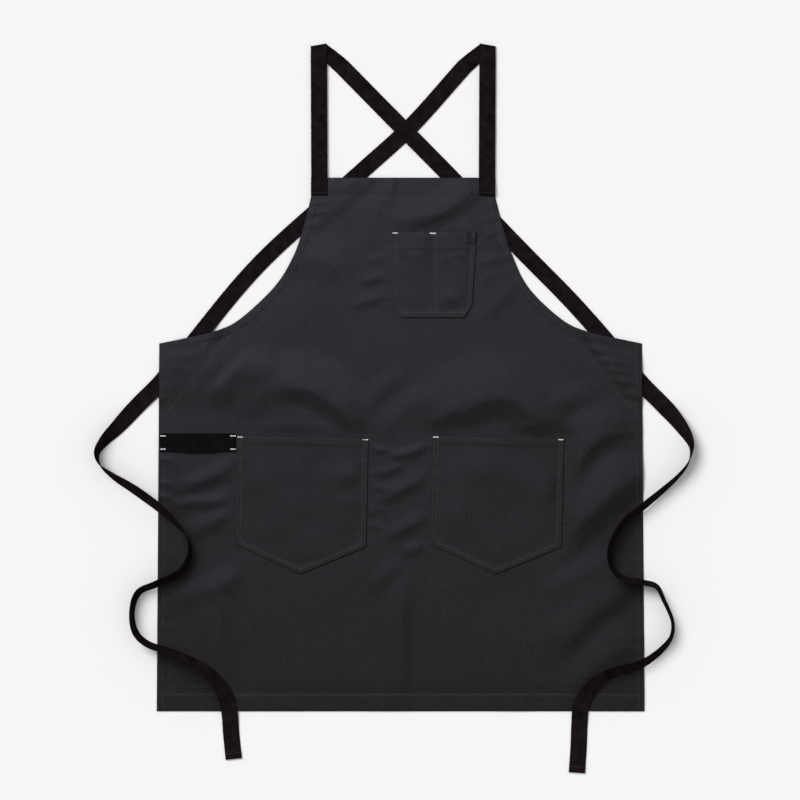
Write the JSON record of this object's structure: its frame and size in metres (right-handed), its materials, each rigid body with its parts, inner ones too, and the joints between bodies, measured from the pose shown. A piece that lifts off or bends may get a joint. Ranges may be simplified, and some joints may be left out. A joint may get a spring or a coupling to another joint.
{
  "type": "cross back apron",
  "caption": "Bib apron lying flat, with a chest pocket, pointed hip pockets, a towel loop and webbing straps that cross at the back and end as waist ties.",
  "frame": {"origin": "middle of the laid out apron with its straps, on the surface that it lies on", "axes": "+Y from the skirt to the shoulder straps, +X to the right as the front is seen, +Z out of the front"},
  "size_m": [0.9272, 1.131, 0.0306],
  "materials": {
    "cloth": "matt charcoal cotton twill",
    "webbing": "matt black woven webbing",
    "tag": "smooth dark woven label",
    "thread": "dull grey topstitching thread",
    "bartack": "white bartack thread"
  },
  "bodies": {
    "root": {"apron_panel": "cloth", "chest_pocket": "cloth", "hip_pocket_left": "cloth", "hip_pocket_right": "cloth", "casing_left": "cloth", "casing_right": "cloth", "pocket_tag": "tag", "towel_loop": "webbing", "shoulder_strap_left": "webbing", "shoulder_strap_right": "webbing", "waist_tie_left": "webbing", "waist_tie_right": "webbing"}
  },
  "joints": []
}
